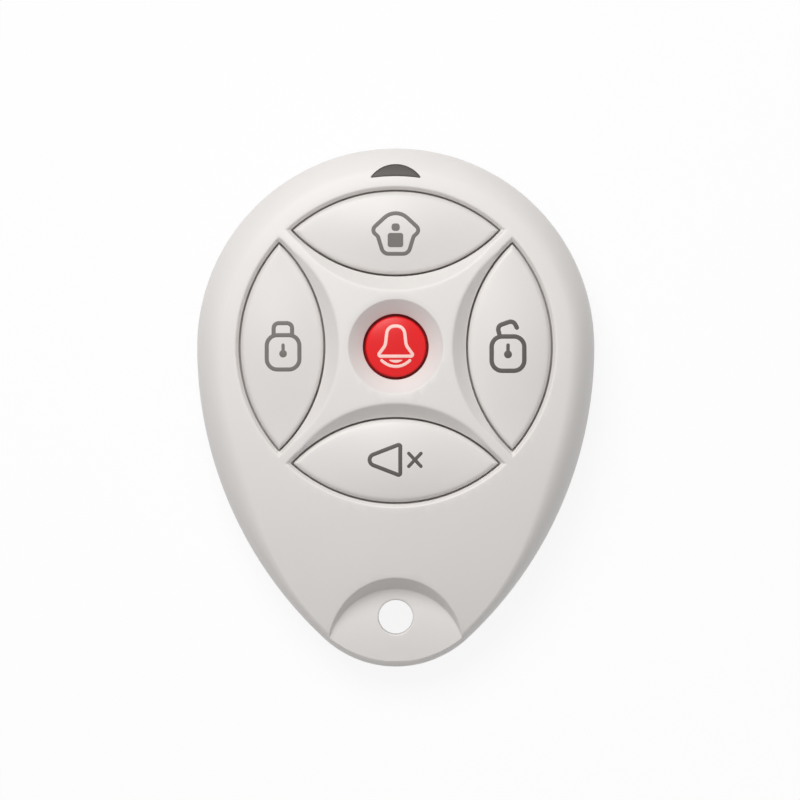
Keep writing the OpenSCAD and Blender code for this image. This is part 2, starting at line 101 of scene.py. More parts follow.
def outline(arcs, grow=0.0):
    """Closed outline through arcs (centre x, y, radius, first and last turn, steps), moved out by grow."""
    points = []
    for x, y, radius, first, last, steps in arcs:
        for step in range(steps):
            turn = math.radians(first + (last - first) * step / steps)
            points.append(Vector((x, y)) + (radius + grow) * Vector((math.cos(turn), math.sin(turn))))
    return points


def level(points, z):
    """The plan points at one height."""
    return [Vector((p.x, p.y, z)) for p in points]


def loft(rings):
    """Closed skin through rings of points, drawn out from the first to the last and capped at both ends."""
    bm = bmesh.new()
    order = bm.verts.layers.int.new("order")
    verts = bmesh.ops.create_circle(bm, segments=len(rings[0]), radius=1)["verts"]
    for k, vert in enumerate(verts):
        vert[order] = k
        vert.co = rings[0][k]
    first = last = bm.edges[:]
    for ring in rings[1:]:
        drawn = bmesh.ops.extrude_edge_only(bm, edges=last)["geom"]
        last = [part for part in drawn if isinstance(part, bmesh.types.BMEdge) and part.is_boundary]
        for part in drawn:
            if isinstance(part, bmesh.types.BMVert):
                part.co = ring[part[order]]
    bmesh.ops.edgeloop_fill(bm, edges=first)
    bmesh.ops.edgeloop_fill(bm, edges=last)
    bm.verts.layers.int.remove(order)
    bmesh.ops.recalc_face_normals(bm, faces=bm.faces)
    return bm


def rounded(corners, closed=False):
    """Path through corners (x, y, radius), each rounded to its radius."""
    path = []
    for k, (x, y, radius) in enumerate(corners):
        corner = Vector((x, y))
        if radius == 0 or not closed and k in (0, len(corners) - 1):
            path.append(corner)
            continue
        before = (Vector(corners[k - 1][:2]) - corner).normalized()
        after = (Vector(corners[(k + 1) % len(corners)][:2]) - corner).normalized()
        half = before.angle(after) / 2
        middle = corner + (before + after).normalized() * radius / math.sin(half)
        first = corner + before * radius / math.tan(half) - middle
        last = corner + after * radius / math.tan(half) - middle
        turn = -first.angle_signed(last)
        steps = max(corner_least, round(abs(turn) / corner_step))
        path += [middle + Matrix.Rotation(turn * j / steps, 2) @ first for j in range(steps + 1)]
    return path


def lathe(profile, x, y, steps=96, angle=360, start=0):
    """Skin turned from a profile of distance and height about an upright axis."""
    bm = bmesh.new()
    verts = [bm.verts.new((p[0], 0, p[1])) for p in profile]
    edges = [bm.edges.new(pair) for pair in zip(verts, verts[1:])]
    whole = angle == 360
    bmesh.ops.rotate(bm, verts=verts, cent=(0, 0, 0), matrix=Matrix.Rotation(math.radians(start), 3, "Z"))
    bmesh.ops.spin(bm, geom=verts + edges, cent=(0, 0, 0), axis=(0, 0, 1), angle=math.radians(angle),
                   steps=steps, use_merge=whole)
    bmesh.ops.remove_doubles(bm, verts=bm.verts, dist=merge_reach)
    bmesh.ops.holes_fill(bm, edges=bm.edges)
    bmesh.ops.translate(bm, verts=bm.verts, vec=(x, y, 0))
    bmesh.ops.recalc_face_normals(bm, faces=bm.faces)
    return bm


def piece(name, bm):
    """Object made from a finished bmesh."""
    mesh = bpy.data.meshes.new(name)
    bm.to_mesh(mesh)
    bm.free()
    made = bpy.data.objects.new(name, mesh)
    bpy.context.scene.collection.objects.link(made)
    return made


def combine(base, bm, operation="DIFFERENCE"):
    """Takes a solid away from a piece, or joins it on, and keeps the result."""
    tool = piece("tool", bm)
    joint = base.modifiers.new("joint", "BOOLEAN")
    joint.operation = operation
    joint.solver = "MANIFOLD"
    joint.object = tool
    made = bpy.data.meshes.new_from_object(base.evaluated_get(bpy.context.evaluated_depsgraph_get()))
    made.materials.clear()
    base.modifiers.remove(joint)
    spent = [base.data, tool.data]
    base.data = made
    bpy.data.objects.remove(tool)
    for mesh in spent:
        bpy.data.meshes.remove(mesh)


def finish_edges(made, angle=38):
    """Smooth shading that breaks at edges sharper than the angle."""
    made.data.shade_smooth()
    made.data.set_sharp_from_angle(angle=math.radians(angle))
    weighted = made.modifiers.new("weighted", "WEIGHTED_NORMAL")
    weighted.keep_sharp = True


def linear(code):
    """Linear colour of an sRGB hex value."""
    parts = [int(code[k:k + 2], 16) / 255 for k in (1, 3, 5)]
    return [c / 12.92 if c <= 0.04045 else ((c + 0.055) / 1.055) ** 2.4 for c in parts] + [1.0]


def blank_material(name):
    """New material without nodes, and its tree."""
    made = bpy.data.materials.new(name)
    made.use_nodes = True
    made.node_tree.nodes.clear()
    return made, made.node_tree


def add(tree, kind, links, **settings):
    """Adds a node with its settings and with the values or links of its inputs, and returns its outputs.
    A colour mix has its share at input 0, its colours at 6 and 7 and its result at output 2."""
    made = tree.nodes.new(kind)
    for name, value in settings.items():
        setattr(made, name, value)
    for name, value in links.items():
        if isinstance(value, bpy.types.NodeSocket):
            tree.links.new(value, made.inputs[name])
        else:
            made.inputs[name].default_value = value
    return made.outputs


def moulded_plastic(name, colour, shade, gloss, grain, depth, shine=0.5):
    """Moulded plastic: an even satin skin with faint flow shading and the fine grain of a spark-eroded
    mould. The grain is drawn a little coarser than the real one, so that it shows in the render."""
    flow_size = 9 * mm
    spread = 0.05
    made, tree = blank_material(name)
    place = add(tree, "ShaderNodeTexCoord", {})["Object"]
    flow = add(tree, "ShaderNodeTexNoise", {"Vector": place, "Scale": 1 / flow_size, "Detail": 3.0})["Fac"]
    skin = add(tree, "ShaderNodeTexNoise", {"Vector": place, "Scale": 1 / grain, "Detail": 2.0})["Fac"]
    tone = add(tree, "ShaderNodeMix", {0: flow, 6: linear(colour), 7: linear(shade)}, data_type="RGBA")[2]
    sheen = add(tree, "ShaderNodeMapRange", {
        "Value": skin, "To Min": gloss - spread, "To Max": gloss + spread})[0]
    bump = add(tree, "ShaderNodeBump", {"Height": skin, "Strength": 0.35, "Distance": depth})["Normal"]
    shader = add(tree, "ShaderNodeBsdfPrincipled", {
        "Base Color": tone, "Roughness": sheen, "IOR": 1.53, "Specular IOR Level": shine,
        "Normal": bump})["BSDF"]
    add(tree, "ShaderNodeOutputMaterial", {"Surface": shader})
    return made


# The covers' ABS has an even satin grey that takes soft shading without glare
housing_abs = moulded_plastic(
    "moulded_abs_light_grey", "#E4E0DD", "#DFDBD8", gloss=0.48, grain=0.3 * mm, depth=0.006 * mm)

wall_end = screw_y + counterbore + counterbore_wall
inner_wall = [Vector((p.x, max(p.y, wall_end))) for p in outline(egg, -side_wall)]
rear_rings = []
for step in range(roll_steps + 1):
    turn = math.radians(90 * step / roll_steps)
    ring = outline(egg, -back_roll * (1 - math.sin(turn)))
    rear_rings.append(level(ring, back_roll * (1 - math.cos(turn))))
rear_rings.append(level(outline(egg), parting - seam_break))
rear_rings.append(level(outline(egg, -seam_break), parting))
rear_rings.append(level(inner_wall, parting))
rear_rings.append(level(inner_wall, back_wall))
rear_shell = piece("rear_shell", loft(rear_rings))

# Posts with pegs for the board
post_corners = [
    (0, back_wall - overlap, 0), (post_radius, back_wall - overlap, 0), (post_radius, board_low.z, 0),
    (peg_radius, board_low.z, 0), (peg_radius, peg_top, peg_round), (0, peg_top, 0),
]
for sign_x in (1, -1):
    for sign_y in (1, -1):
        post = lathe(rounded(post_corners), sign_x * post_place, head_y + sign_y * post_place, steps=32)
        combine(rear_shell, post, "UNION")

# Ribs round the cell
rib_turn = math.degrees(math.asin(rib_clear / rib_radius))
rib_corners = [
    (rib_radius, back_wall - overlap), (rib_radius + rib_wall, back_wall - overlap),
    (rib_radius + rib_wall, back_wall + rib_height), (rib_radius, back_wall + rib_height),
    (rib_radius, back_wall - overlap),
]
for start in (rib_turn, 180 + rib_turn):
    rib = lathe(rib_corners, 0, head_y, steps=48, angle=180 - 2 * rib_turn, start=start)
    combine(rear_shell, rib, "UNION")

# Key-ring hole and the screw's counterbore
hole_mouth = ring_hole + edge_spread * hole_round
hole_corners = [
    (0, -beyond, 0), (hole_mouth, -beyond, 0), (hole_mouth, -edge_clear * hole_round, 0),
    (ring_hole, edge_clear * hole_round, hole_round), (ring_hole, parting + beyond, 0),
    (0, parting + beyond, 0),
]
combine(rear_shell, lathe(rounded(hole_corners), 0, ring_hole_y))
bore_corners = [
    (0, -beyond), (counterbore, -beyond), (counterbore, screw_seat), (shank_hole, screw_seat),
    (shank_hole, parting + beyond), (0, parting + beyond),
]
combine(rear_shell, lathe(bore_corners, 0, screw_y))
finish_edges(rear_shell)
rear_shell.data.materials.append(housing_abs)
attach(rear_shell, "housing")
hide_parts("rear_cover")

# Coin cell and its contacts
# A lithium coin cell in a stainless can lies in a bent strap of spring steel, under a dimpled brass disc.
# Strap and disc are stamped from strip and soldered to the underside of the board.


def drawn_metal(name, colour, shade, roughness, grain, depth):
    """Rolled or drawn metal: bright, with fine lines along the rolling and slight changes in its polish.
    The lines are drawn coarser than the real ones, so that they show in the render."""
    stretch = 0.1
    spread = 0.08
    made, tree = blank_material(name)
    place = add(tree, "ShaderNodeTexCoord", {})["Object"]
    along = add(tree, "ShaderNodeMapping", {"Vector": place, "Scale": (stretch, 1, 1)})["Vector"]
    lines = add(tree, "ShaderNodeTexNoise", {"Vector": along, "Scale": 1 / grain, "Detail": 3.0})["Fac"]
    tone = add(tree, "ShaderNodeMix", {0: lines, 6: linear(colour), 7: linear(shade)}, data_type="RGBA")[2]
    polish = add(tree, "ShaderNodeMapRange", {
        "Value": lines, "To Min": roughness - spread, "To Max": roughness + spread})[0]
    bump = add(tree, "ShaderNodeBump", {"Height": lines, "Strength": 0.4, "Distance": depth})["Normal"]
    shader = add(tree, "ShaderNodeBsdfPrincipled", {
        "Base Color": tone, "Metallic": 1.0, "Roughness": polish, "Normal": bump})["BSDF"]
    add(tree, "ShaderNodeOutputMaterial", {"Surface": shader})
    return made


def dress(node, material):
    """Gives a CAD node that stays its finish."""
    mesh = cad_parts[node].data
    mesh.materials.clear()
    mesh.materials.append(material)


dress("coin_cell", drawn_metal(
    "drawn_stainless_can", "#C9CBCC", "#B2B5B7", roughness=0.3, grain=0.2 * mm, depth=0.004 * mm))
dress("battery_clip", drawn_metal(
    "rolled_spring_steel", "#B9B9B4", "#9FA09C", roughness=0.35, grain=0.15 * mm, depth=0.004 * mm))
dress("battery_contact", drawn_metal(
    "rolled_brass", "#D8B76A", "#C09A4C", roughness=0.3, grain=0.15 * mm, depth=0.004 * mm))

# Circuit board
# A sheet of glass epoxy laminate with green solder mask over etched copper, cut to the egg outline.
# Reflow solder holds its chips, crystal, lamp, small resistors and the bent wire antenna.
track_pitch = 1.6 * mm
track_run = 4 * track_pitch
track_gap = 0.25 * mm
track_rise = 0.03 * mm
# Solder mask is a glossy green lacquer, which is darker and lower in the gaps between the tracks
solder_mask, tree = blank_material("green_solder_mask")
place = add(tree, "ShaderNodeTexCoord", {})["Object"]
tracks = add(tree, "ShaderNodeTexBrick", {
    "Vector": place, "Color1": linear("#1F6A43"), "Color2": linear("#24754B"), "Mortar": linear("#164F32"),
    "Scale": 1.0, "Mortar Size": track_gap, "Mortar Smooth": 0.3, "Brick Width": track_run,
    "Row Height": track_pitch})
bump = add(tree, "ShaderNodeBump", {
    "Height": tracks["Fac"], "Strength": 0.5, "Distance": track_rise}, invert=True)["Normal"]
shader = add(tree, "ShaderNodeBsdfPrincipled", {
    "Base Color": tracks["Color"], "Roughness": 0.3, "IOR": 1.5, "Normal": bump})["BSDF"]
add(tree, "ShaderNodeOutputMaterial", {"Surface": shader})
dress("circuit_board", solder_mask)
chip_epoxy = moulded_plastic(
    "moulded_chip_epoxy", "#1C1C1E", "#262628", gloss=0.55, grain=0.15 * mm, depth=0.006 * mm)
dress("controller_chip", chip_epoxy)
dress("radio_chip", chip_epoxy)
dress("crystal", drawn_metal(
    "nickel_plated_can", "#C8C6BF", "#B4B2AC", roughness=0.25, grain=0.2 * mm, depth=0.003 * mm))
dress("chip_passives", moulded_plastic(
    "fired_ceramic", "#7A5E48", "#6A503C", gloss=0.5, grain=0.1 * mm, depth=0.004 * mm))
dress("status_led", moulded_plastic(
    "clear_cast_epoxy", "#EDECE2", "#E2E0D2", gloss=0.15, grain=0.4 * mm, depth=0.002 * mm))
dress("antenna", drawn_metal(
    "tinned_copper_wire", "#D2CEC0", "#BDB8A8", roughness=0.32, grain=0.1 * mm, depth=0.003 * mm))

# Tact switches
# Five low switches on the board: a black nylon base, a white acetal plunger and a stamped steel plate.
# The plate is folded over the base, and a snap dome under the plunger pushes the key back up.
switch_nylon = moulded_plastic(
    "moulded_black_nylon", "#202022", "#2A2A2C", gloss=0.5, grain=0.15 * mm, depth=0.005 * mm)
plunger_acetal = moulded_plastic(
    "moulded_white_acetal", "#DAD7CE", "#D0CCC2", gloss=0.35, grain=0.3 * mm, depth=0.003 * mm)
for name in ("home", "arm", "mute", "disarm", "panic"):
    dress(name + "_switch", switch_nylon)
    dress(name + "_plunger", plunger_acetal)
dress("switch_frames", drawn_metal(
    "stamped_steel_plate", "#BFBFBC", "#A9A9A6", roughness=0.35, grain=0.12 * mm, depth=0.003 * mm))

# Lens keys
# Four hollow ABS caps with pillowed tops and rounded edges, their grey darker than the housing's as painted
# shade.
# A flange holds each of them under the front cover, and a stem stands over its switch.
ring_radius = 18 * mm
star_waist = 8.2 * mm
key_arc = 16.3 * mm
key_arc_y = star_waist + key_arc
key_y = (star_waist + ring_radius) / 2
key_gap = 0.22 * mm
tip_round = 0.15 * mm
least_tip = 0.08 * mm
lens_steps = 64
tip_steps = 8
ring_height = 11.55 * mm
key_sink = 0.15 * mm
key_crown = 285 * mm
key_middle = ring_height - key_sink - math.sqrt(key_crown ** 2 - ring_radius ** 2)
key_pillow = 0.75 * mm
key_round = 0.55 * mm
key_round_steps = 8
key_shares = (0.9, 0.78, 0.64, 0.5, 0.36, 0.22, 0.08)
cap_wall = 1 * mm
cap_ceiling = ring_height - key_sink - cap_wall
stem_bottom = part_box("home_key")[0].z
stem_radius = 1.3 * mm
stem_round = 0.2 * mm
flange_lift = 0.05 * mm
flange_thick = 0.8 * mm
flange_bottom = stem_bottom + flange_lift
flange_top = flange_bottom + flange_thick
flange_width = 0.7 * mm
flange_reach = 7 * mm
ledge_width = 0.3 * mm
web_wall = 0.8 * mm
web_drop = 0.5 * mm
key_turns = {"home": 0, "arm": 90, "mute": 180, "disarm": 270}


def lens(grow, tip=0.0):
    """Outline of the upper lens key, from the middle of the keys, moved out by grow, with rounded tips."""
    tip = tip or max(least_tip, tip_round + grow)
    ring = ring_radius + grow
    arc = key_arc + grow
    tip_y = ((ring - tip) ** 2 + key_arc_y ** 2 - (arc - tip) ** 2) / (2 * key_arc_y)
    tip_x = math.sqrt((ring - tip) ** 2 - tip_y ** 2)
    outer = math.degrees(math.atan2(tip_y, tip_x))
    inner = math.degrees(math.atan2(key_arc_y - tip_y, tip_x))
    return outline([
        (0, 0, ring, outer, 180 - outer, lens_steps),
        (-tip_x, tip_y, tip, 180 - outer, 180 + inner, tip_steps),
        (0, key_arc_y, arc, 180 + inner, 360 - inner, lens_steps),
        (tip_x, tip_y, tip, 360 - inner, 360 + outer, tip_steps),
    ])


def key_top(p):
    """Height of a lens key's pillowed top at a plan point of its own frame."""
    from_ring = max(0, ring_radius - p.length)
    from_arc = max(0, key_arc - (p - Vector((0, key_arc_y))).length)
    pillow = 4 * from_ring * from_arc / (ring_radius - star_waist) ** 2
    return key_middle + math.sqrt(key_crown ** 2 - p.length_squared) + key_pillow * pillow


def slab(points, low, high):
    """Upright solid of one outline between two heights."""
    return loft([level(points, low), level(points, high)])


def at_key(bm, turn):
    """Turns a shape to a key's place round the middle of the keys."""
    bmesh.ops.rotate(bm, verts=bm.verts, cent=(0, 0, 0), matrix=Matrix.Rotation(math.radians(turn), 3, "Z"))
    bmesh.ops.translate(bm, verts=bm.verts, vec=(0, head_y, 0))
    return bm


# The keys' ABS is a little glossier than the covers', as on a polished mould. Its darker grey is painted
# shade.
key_abs_painted_shade = moulded_plastic(
    "moulded_abs_key_grey_painted_shade", "#DFDBD8", "#DAD6D3", gloss=0.42, grain=0.3 * mm, depth=0.005 * mm)

cap_rings = [level(lens(-key_gap / 2), flange_bottom)]
for step in range(key_round_steps + 1):
    bend = math.radians(90 * step / key_round_steps)
    drop = key_round * (1 - math.sin(bend))
    edge = lens(-key_gap / 2 - key_round * (1 - math.cos(bend)))
    cap_rings.append([Vector((p.x, p.y, key_top(p) - drop)) for p in edge])
cap_middle = Vector((0, key_y))
for share in key_shares:
    ring = [cap_middle + share * (p - cap_middle) for p in edge]
    cap_rings.append([Vector((p.x, p.y, key_top(p))) for p in ring])
lip = [Vector((max(-flange_reach, min(flange_reach, p.x)), p.y)) for p in lens(flange_width)]
ledge = lens(ledge_width)
room = lens(-key_gap / 2 - cap_wall)
web_low = key_y - web_wall / 2
web_high = key_y + web_wall / 2
web = [Vector((p.x, max(web_low, min(web_high, p.y)))) for p in lens(-key_gap / 2 - cap_wall / 2)]
stem_corners = [
    (0, stem_bottom, 0), (stem_radius, stem_bottom, stem_round), (stem_radius, cap_ceiling + overlap, 0),
    (0, cap_ceiling + overlap, 0),
]
for name, turn in key_turns.items():
    cap = piece(name + "_cap", at_key(loft(cap_rings), turn))
    for ring in (lip, ledge):
        combine(cap, at_key(slab(ring, flange_bottom, flange_top), turn), "UNION")
    combine(cap, at_key(slab(room, flange_bottom - beyond, cap_ceiling), turn))
    combine(cap, at_key(lathe(rounded(stem_corners), 0, key_y, steps=32), turn), "UNION")
    combine(cap, at_key(slab(web, cap_ceiling - web_drop, cap_ceiling + overlap), turn), "UNION")
    finish_edges(cap)
    cap.data.materials.append(key_abs_painted_shade)
    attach(cap, name + "_key")
    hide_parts(name + "_key")

# Panic key
# A round cap moulded in red ABS, with a crowned top whose edge is level with the floor of its dish.
# Its flange holds it under the dish of the front cover, and its stem stands over the middle switch.
dish_depth = 1.55 * mm
dish_floor = front_high.z - dish_depth
panic_radius = 3.5 * mm
panic_gap = 0.3 * mm
panic_rise = 0.4 * mm
panic_crown = (panic_radius ** 2 + panic_rise ** 2) / (2 * panic_rise)
panic_shares = (0, 0.2, 0.4, 0.6, 0.75)
panic_flange = panic_radius + panic_gap + flange_width
panic_flange_round = 0.15 * mm
panic_round = 0.3 * mm
panic_room = panic_radius - cap_wall
panic_ceiling = dish_floor - cap_wall


def panic_top(r):
    """Height of the round key's crowned top at a distance from its middle."""
    return dish_floor + panic_rise - panic_crown + math.sqrt(panic_crown ** 2 - r ** 2)


# The red ABS is smooth and glossier than the grey, with a soft light on its crown
panic_abs = moulded_plastic(
    "moulded_abs_signal_red", "#E31D20", "#DB171C", gloss=0.3, grain=0.3 * mm, depth=0.003 * mm, shine=0.25)
panic_corners = [(panic_radius * share, panic_top(panic_radius * share), 0) for share in panic_shares]
panic_corners += [
    (panic_radius, dish_floor, panic_round), (panic_radius, flange_top, 0),
    (panic_flange, flange_top, panic_flange_round), (panic_flange, flange_bottom, panic_flange_round),
    (panic_room, flange_bottom, 0), (panic_room, panic_ceiling, panic_round),
    (stem_radius, panic_ceiling, panic_round), (stem_radius, stem_bottom, stem_round), (0, stem_bottom, 0),
]
panic_cap = piece("panic_cap", lathe(rounded(panic_corners), 0, head_y))
finish_edges(panic_cap)
panic_cap.data.materials.append(panic_abs)
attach(panic_cap, "panic_key")
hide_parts("panic_key")

# Key signs
# Pad prints of thin ink: a house with someone in, a padlock, an open padlock, a crossed loudspeaker, and on
# the red key a bell in pale ink. Each lies a few hundredths of a millimetre proud of its key.
ink_rise = 0.03 * mm
ink_line = 0.46 * mm
ink_step = 0.3


def printed_ink(name, colour, shade):
    """Pad-printed ink: a thin matt film whose cover varies a little from place to place."""
    speck = 0.25 * mm
    depth = 0.004 * mm
    made, tree = blank_material(name)
    place = add(tree, "ShaderNodeTexCoord", {})["Object"]
    cover = add(tree, "ShaderNodeTexNoise", {"Vector": place, "Scale": 1 / speck, "Detail": 2.0})["Fac"]
    tone = add(tree, "ShaderNodeMix", {0: cover, 6: linear(colour), 7: linear(shade)}, data_type="RGBA")[2]
    bump = add(tree, "ShaderNodeBump", {"Height": cover, "Strength": 0.2, "Distance": depth})["Normal"]
    shader = add(tree, "ShaderNodeBsdfPrincipled", {
        "Base Color": tone, "Roughness": 0.6, "IOR": 1.48, "Normal": bump})["BSDF"]
    add(tree, "ShaderNodeOutputMaterial", {"Surface": shader})
    return made


def stroke(bm, path, closed=False, width=ink_line):
    """Adds a line of ink with round ends along a path in millimetres, in steps short enough to follow
    the top of a key."""
    curve = bpy.data.curves.new("stroke", "CURVE")
    curve.dimensions = "3D"
    curve.bevel_depth = width / 2
    curve.bevel_resolution = 3
    curve.use_fill_caps = True
    corners = [Vector(p) for p in path]
    points = []
    for a, b in zip(corners, corners[1:] + corners[:1]):
        steps = math.ceil((b - a).length / ink_step)
        points += [a.lerp(b, k / steps) for k in range(steps)]
    if not closed:
        points = points[:points.index(corners[-1]) + 1]
    line = curve.splines.new("POLY")
    line.points.add(len(points) - 1)
    for point, p in zip(line.points, points):
        point.co = (p.x * mm, p.y * mm, 0, 1)
    line.use_cyclic_u = closed
    drawn = bpy.data.objects.new("stroke", curve)
    mesh = bpy.data.meshes.new_from_object(drawn)
    bm.from_mesh(mesh)
    bpy.data.meshes.remove(mesh)
    bpy.data.objects.remove(drawn)
    bpy.data.curves.remove(curve)
    if not closed:
        dot(bm, path[0], width / 2 / mm)
        dot(bm, path[-1], width / 2 / mm)


def dot(bm, place, radius):
    """Adds a round spot of ink."""
    spot = Matrix.Translation((place[0] * mm, place[1] * mm, 0))
    bmesh.ops.create_uvsphere(bm, u_segments=24, v_segments=12, radius=radius * mm, matrix=spot)


def patch(bm, corners):
    """Adds a filled shape with rounded corners."""
    low = [Vector((p.x * mm, p.y * mm, -ink_line / 2)) for p in rounded(corners, closed=True)]
    solid = loft([low, level(low, ink_line / 2)])
    bmesh.ops.poke(solid, faces=[face for face in solid.faces if len(face.verts) > 4])
    mesh = bpy.data.meshes.new("patch")
    solid.to_mesh(mesh)
    solid.free()
    bm.from_mesh(mesh)
    bpy.data.meshes.remove(mesh)


def lock_body(bm, x, y, width):
    """Draws a padlock's rounded body about its middle."""
    half_wide = 1.88
    half_high = 1.975
    corner_round = 1.2
    corners = []
    for sign_x, sign_y in ((1, 1), (-1, 1), (-1, -1), (1, -1)):
        corners.append((x + sign_x * half_wide, y + sign_y * half_high, corner_round))
    stroke(bm, rounded(corners, closed=True), closed=True, width=width)


def keyhole(bm, x, low, high, radius, width):
    """Draws a padlock's keyhole, a spot with a short line up from it."""
    dot(bm, (x, low), radius)
    stroke(bm, [(x, low), (x, high)], width=width)


def on_key(turn):
    """Height of a lens key's top in the shared frame."""
    back = Matrix.Rotation(math.radians(-turn), 2)
    return lambda p: key_top(back @ (p - Vector((0, head_y))))


def on_panic(p):
    """Height of the round key's top in the shared frame."""
    return panic_top((p - Vector((0, head_y))).length)


def lay_ink(name, bm, height, material, body):
    """Presses a drawn sign flat onto the top of its key."""
    flat = 2 * ink_rise / ink_line
    for vert in bm.verts:
        vert.co.z = height(vert.co.xy) + vert.co.z * flat
    made = piece(name, bm)
    finish_edges(made)
    made.data.materials.append(material)
    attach(made, body)


pale_grey_ink = printed_ink("pad_printed_grey_ink", "#75706C", "#6E6A66")
deep_grey_ink = printed_ink("pad_printed_deep_grey_ink", "#595350", "#534E4A")
pale_ink = printed_ink("pad_printed_pale_ink", "#FBD3CB", "#F6C6BD")

# House with someone in
house = bmesh.new()
house_corners = [
    (0, 23.07, 1.93), (-2.85, 20.44, 0.58), (-2.05, 19.70, 0.38), (-1.44, 17.70, 0.82),
    (1.44, 17.70, 0.82), (2.05, 19.70, 0.38), (2.85, 20.44, 0.58),
]
stroke(house, rounded(house_corners, closed=True), closed=True)
patch(house, [(-0.48, 20.34, 0.34), (0.46, 20.34, 0.34), (0.46, 21.2, 0.34), (-0.48, 21.2, 0.34)])
patch(house, [(-0.93, 18.47, 0.3), (0.86, 18.47, 0.3), (0.86, 20.1, 0.3), (-0.93, 20.1, 0.3)])
lay_ink("home_sign", house, on_key(key_turns["home"]), pale_grey_ink, "home_key")

# Padlock
padlock = bmesh.new()
lock_x = -12.97
lock_line = 0.48 * mm
lock_body(padlock, lock_x, 6.36, lock_line)
shackle = [(-14.06, 8.35, 0), (-14.06, 9.72, 0.6), (-11.93, 9.72, 0.6), (-11.93, 8.35, 0)]
stroke(padlock, rounded(shackle), width=lock_line)
keyhole(padlock, lock_x, low=6.2, high=7.2, radius=0.44, width=0.38 * mm)
lay_ink("arm_sign", padlock, on_key(key_turns["arm"]), pale_grey_ink, "arm_key")

# Open padlock
open_lock = bmesh.new()
open_x = 12.92
open_line = 0.52 * mm
lock_body(open_lock, open_x, 6.21, open_line)
open_shackle = [(12.0, 8.18, 0), (11.67, 9.38, 0.6), (13.53, 10.02, 0.6), (13.94, 9.2, 0)]
stroke(open_lock, rounded(open_shackle), width=open_line)
keyhole(open_lock, open_x, low=6.12, high=7.2, radius=0.46, width=0.4 * mm)
lay_ink("disarm_sign", open_lock, on_key(key_turns["disarm"]), deep_grey_ink, "disarm_key")

# Crossed loudspeaker
speaker = bmesh.new()
horn = [(0.52, -4.2, 0.2), (-4.18, -6.02, 0.66), (0.52, -7.84, 0.2)]
cross_x = 2.2
cross_half = 0.7
cross_low = -6.76
cross_high = -5.28
cross_line = 0.4 * mm
stroke(speaker, rounded(horn, closed=True), closed=True)
for lean in (1, -1):
    bar = [(cross_x - cross_half * lean, cross_low), (cross_x + cross_half * lean, cross_high)]
    stroke(speaker, bar, width=cross_line)
lay_ink("mute_sign", speaker, on_key(key_turns["mute"]), deep_grey_ink, "mute_key")

# Bell
bell = bmesh.new()
bell_line = 0.37 * mm
bell_rim_line = 0.34 * mm
bell_corners = [
    (-2.13, 5.91, 0.2), (-1.2, 7.15, 1.2), (-0.94, 9.39, 0.92),
    (0.94, 9.39, 0.92), (1.2, 7.15, 1.2), (2.13, 5.91, 0.2),
]
stroke(bell, rounded(bell_corners, closed=True), closed=True, width=bell_line)
stroke(bell, rounded([(-1.62, 5.42, 0), (0, 4.0, 2.2), (1.62, 5.42, 0)]), width=bell_rim_line)
patch(bell, [(-0.85, 5.5, 0.05), (0, 4.87, 1.2), (0.85, 5.5, 0.05)])
lay_ink("panic_sign", bell, on_panic, pale_ink, "panic_key")

# Indicator lens
# A light pipe moulded in smoked polycarbonate that fills the slot at the head and stands over the lamp.
# It drops in from inside, where a flange holds it under the roof of the front cover.
dome_radius = 86 * mm
dish_radius = 5.5 * mm
dome_middle = front_high.z - math.sqrt(dome_radius ** 2 - dish_radius ** 2)
edge_roll = 3 * mm
tail_roll = 1.0 * mm
narrow_from = 0.3
narrow_over = 0.42
roof = 1.5 * mm
halvings = 40
window_arc = 3.5 * mm
window_top = 21.06 * mm
window_foot = 19.66 * mm
window_round = 0.1 * mm
window_y = window_top - window_arc
window_steps = 40
window_round_steps = 6
lens_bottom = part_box("indicator_lens")[0].z
lens_fit = 0.04 * mm
lens_sink = 0.15 * mm
lens_break = 0.05 * mm
lens_bow = 0.3 * lens_break
lens_shares = (0.7, 0.4, 0.1)
lens_limit = 20.7 * mm
lens_flange = 0.8 * mm
lens_flange_thick = 0.9 * mm


def dome_height(p, depth=0.0):
    """Height of the dome, or of one that deep under it, at a plan point from the middle of the keys."""
    return dome_middle + math.sqrt((dome_radius - depth) ** 2 - p.length_squared)


def roll_width(way):
    """Width of the front's rolled edge where the outline faces that way: it narrows round the tail."""
    t = min(1, max(0, (-way.y - narrow_from) / narrow_over))
    return edge_roll + (tail_roll - edge_roll) * t * t * (3 - 2 * t)


def roll_height(start, reach, share):
    """Height at a share of the rolled edge that starts at a plan point of the dome and runs out by reach."""
    start_z = dome_height(start)
    corner_z = start_z - start.dot(reach) / math.sqrt(dome_radius ** 2 - start.length_squared)
    low, high = 0.0, 1.0
    for _ in range(halvings):
        u = (low + high) / 2
        a, b, c = (1 - u) ** 2, math.sqrt(2) * u * (1 - u), u ** 2
        low, high = (u, high) if (b + c) / (a + b + c) < share else (low, u)
    return (a * start_z + b * corner_z + c * parting) / (a + b + c)


def front_height(p):
    """Height of the front's outside, dome or rolled edge, at a plan point from the middle of the keys."""
    tail = Vector((0, tail_y - head_y))
    centre, radius = Vector((0, 0)), head_radius
    if p.y < 0:
        turn = math.degrees(math.atan2(p.y - tail.y, abs(p.x)))
        centre, radius = Vector((-math.copysign(side_x, p.x), 0)), side_radius
        if turn < -side_turn:
            centre, radius = tail, tail_radius
    out = p - centre
    inset = radius - out.length
    normal = out.normalized()
    roll = roll_width(normal)
    if inset >= roll:
        return dome_height(p)
    return roll_height(centre + normal * (radius - roll), normal * roll, min(1, 1 - inset / roll))


